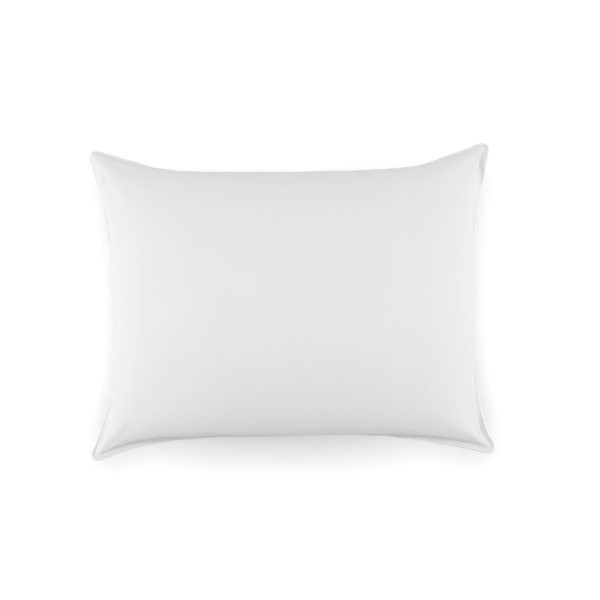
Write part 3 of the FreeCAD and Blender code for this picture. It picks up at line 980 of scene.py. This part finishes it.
overlock = {"pitch": 0.003, "radius": 0.00014, "slant": math.radians(24), "clear": 0.0003, "slack": 0.0002}
overlockPiece = edgePath("overlock_edge", -edge["tailInside"] - overlock["clear"], 0)
overlockTree().run(overlockPiece, {
    "Pitch": overlock["pitch"], "Reach": (overlockHigh[2] - overlockLow[2]) / 2 + overlock["slack"],
    "Radius": overlock["radius"], "Slant": overlock["slant"], "Material": materials["thread"],
})
finishPiece(overlockPiece, "sewing_thread", "overlock_thread")

cord = {"step": 0.0016, "lay": 0.014, "slack": 0.00005, "groove": 0.74}
cordPiece = edgePath("piping_cord_strands", crownInset - pipingRadius, 0)
cordTree().run(cordPiece, {
    "Step": cord["step"], "Radius": pipingRadius - tape["thick"] - cord["slack"],
    "Lay": cord["lay"], "Material": materials["cord"],
})
finishPiece(cordPiece, "cotton_cord", "piping_cord")
print("cord and overlock made")


label = {
    "width": labelHigh[0] - labelLow[0],
    "drop": labelHigh[2] - labelLow[2],
    "thick": 0.00025,
    "gap": 0.0006,             # between its two layers
    "rows": 26,
    "across": 8,
    "curl": 0.0022,
    "lean": 0.006,
    "sink": 0.0012,            # where it starts, under the middle of the flat edge
    "turnDown": 0.2,           # how fast it turns to hang straight
    "foldAngles": (0.8, 1.57, 2.34),
}


def careLabel():               # a blank satin tape, folded double and hung from the far side
    place = int(cellsX + cellsY + cellsX / 2)
    start = rim.ring(crownInset - closingRow, -label["sink"])[place]
    out, level = rim.out[place], unit(np.cross(rim.tangent[place], up))
    across = unit(rim.tangent[place])
    count = label["rows"]
    path, way = [start], out
    for k in range(1, count):
        way = unit(way * (1 - label["turnDown"]) - up * label["turnDown"])
        path.append(path[-1] + way * label["drop"] / (count - 1))
    path = np.array(path)
    share = np.linspace(0, 1, count)[:, None]
    path += level * label["lean"] * (share ** 2 - share)
    normal = unit(np.cross(across, np.gradient(path, axis=0)))
    half = label["gap"] / 2
    bends = label["foldAngles"]
    turn = [path[-1] + normal[-1] * half * math.cos(a) - up * half * math.sin(a) for a in bends]
    strip = np.concatenate((path + normal * half, turn, (path - normal * half)[::-1]))
    places = np.linspace(-0.5, 0.5, label["across"] + 1)
    reach = np.concatenate((share[:, 0], [1] * len(bends), share[::-1, 0]))
    curl = label["curl"] * (4 * places[None, :] ** 2) * reach[:, None] ** 1.5
    facing = np.concatenate((normal, [normal[-1]] * len(bends), normal[::-1]))
    sideways = across * (places * label["width"])[None, :, None]
    rows = strip[:, None] + sideways + facing[:, None] * curl[..., None]
    numbers = np.arange(rows.shape[0] * rows.shape[1]).reshape(rows.shape[:2])
    mesh = meshFrom("care_label_fold", rows.reshape(-1, 3), gridFaces(numbers))
    run = np.concatenate(([0], np.cumsum(np.linalg.norm(np.diff(strip, axis=0), axis=1))))
    flat = np.stack(np.meshgrid(run, places * label["width"], indexing="ij"), axis=-1).reshape(-1, 2)
    clothMap(mesh, flat)
    mesh.materials.append(materials["satin"])
    piece = newObject("care_label_fold", mesh)
    wall = piece.modifiers.new("satin", "SOLIDIFY")
    wall.thickness, wall.offset = label["thick"], 0
    settle(piece)
    finishPiece(piece, "label_satin", "care_label")


careLabel()
print("label hung")


studio = {
    "floorHalf": 9.0,
    "floorGlow": 0.065,        # the floor is a softly lit table
    "world": 0.235,
    "camera": {"far": 4.0, "elevation": 78.0, "roll": -1.2, "aim": (0.0165, 0.0057, 0.06), "lens": 148.5},
    # name: place, what it points at, size, watts
    "lamps": {
        "overhead": ((0, 0.2, 3.6), (0, 0.1, 0), 3.4, 68),
        "left": ((-3.0, 0.3, 1.5), (0, 0, 0.05), 2.8, 26),
        "left_low": ((-2.4, 0.3, 0.8), (0, 0, 0.05), 1.2, 17.4),
        "right": ((3.0, 0.3, 1.5), (0, 0, 0.05), 2.8, 5.7),
        "right_low": ((2.4, 0.3, 0.8), (0, 0, 0.05), 1.2, 25),
        "far": ((0, 3.2, 1.6), (0, 0, 0.05), 3.0, 9),
        "near_floor": ((0, -1.6, 1.9), (0, -0.9, 0), 0.8, 9),
    },
}


def paleFloor():
    half = studio["floorHalf"]
    corners = ((-half, -half, 0), (half, -half, 0), (half, half, 0), (-half, half, 0))
    floor = newObject("floor", meshFrom("floor", corners, [(0, 1, 2, 3)]))
    finish = Finish("pale_floor", 0.9, specular=0.1, view=(0.95, 0.95, 0.95))
    grain = finish.cloud(finish.place(), 3, 2, 0.5)
    finish.colour(grain, (0.955, 0.955, 0.955), (0.965, 0.965, 0.965))
    finish.shader.inputs["Emission Color"].default_value = (1, 1, 1, 1)
    finish.shader.inputs["Emission Strength"].default_value = studio["floorGlow"]
    floor.data.materials.append(finish.material)


def lightUp():
    world = bpy.data.worlds.new("studio")
    bpy.context.scene.world = world
    world.use_nodes = True
    backdrop = world.node_tree.nodes["Background"]
    backdrop.inputs["Color"].default_value = (1, 1, 1, 1)
    backdrop.inputs["Strength"].default_value = studio["world"]
    for name, (place, target, size, watts) in studio["lamps"].items():
        lamp = bpy.data.lights.new(name, "AREA")
        lamp.shape, lamp.size, lamp.energy = "SQUARE", size, watts
        holder = bpy.data.objects.new(name, lamp)
        bpy.context.scene.collection.objects.link(holder)
        holder.location = place
        holder.rotation_euler = (Vector(target) - Vector(place)).to_track_quat("-Z", "Y").to_euler()
        holder.visible_camera = False


def setCamera():
    values = studio["camera"]
    tilt = math.radians(values["elevation"])
    aim = Vector(values["aim"])
    eye = aim + Vector((0, -math.cos(tilt), math.sin(tilt))) * values["far"]
    camera = bpy.data.objects.new("camera", bpy.data.cameras.new("camera"))
    bpy.context.scene.collection.objects.link(camera)
    camera.location = eye
    turn = (aim - eye).to_track_quat("-Z", "Y").to_euler()
    camera.rotation_euler = turn
    camera.rotation_euler.rotate_axis("Z", math.radians(values["roll"]))
    camera.data.lens = values["lens"]
    camera.data.clip_end = 50
    bpy.context.scene.camera = camera


paleFloor()
lightUp()
setCamera()
bpy.context.scene.view_settings.view_transform = "Standard"
print("studio ready")
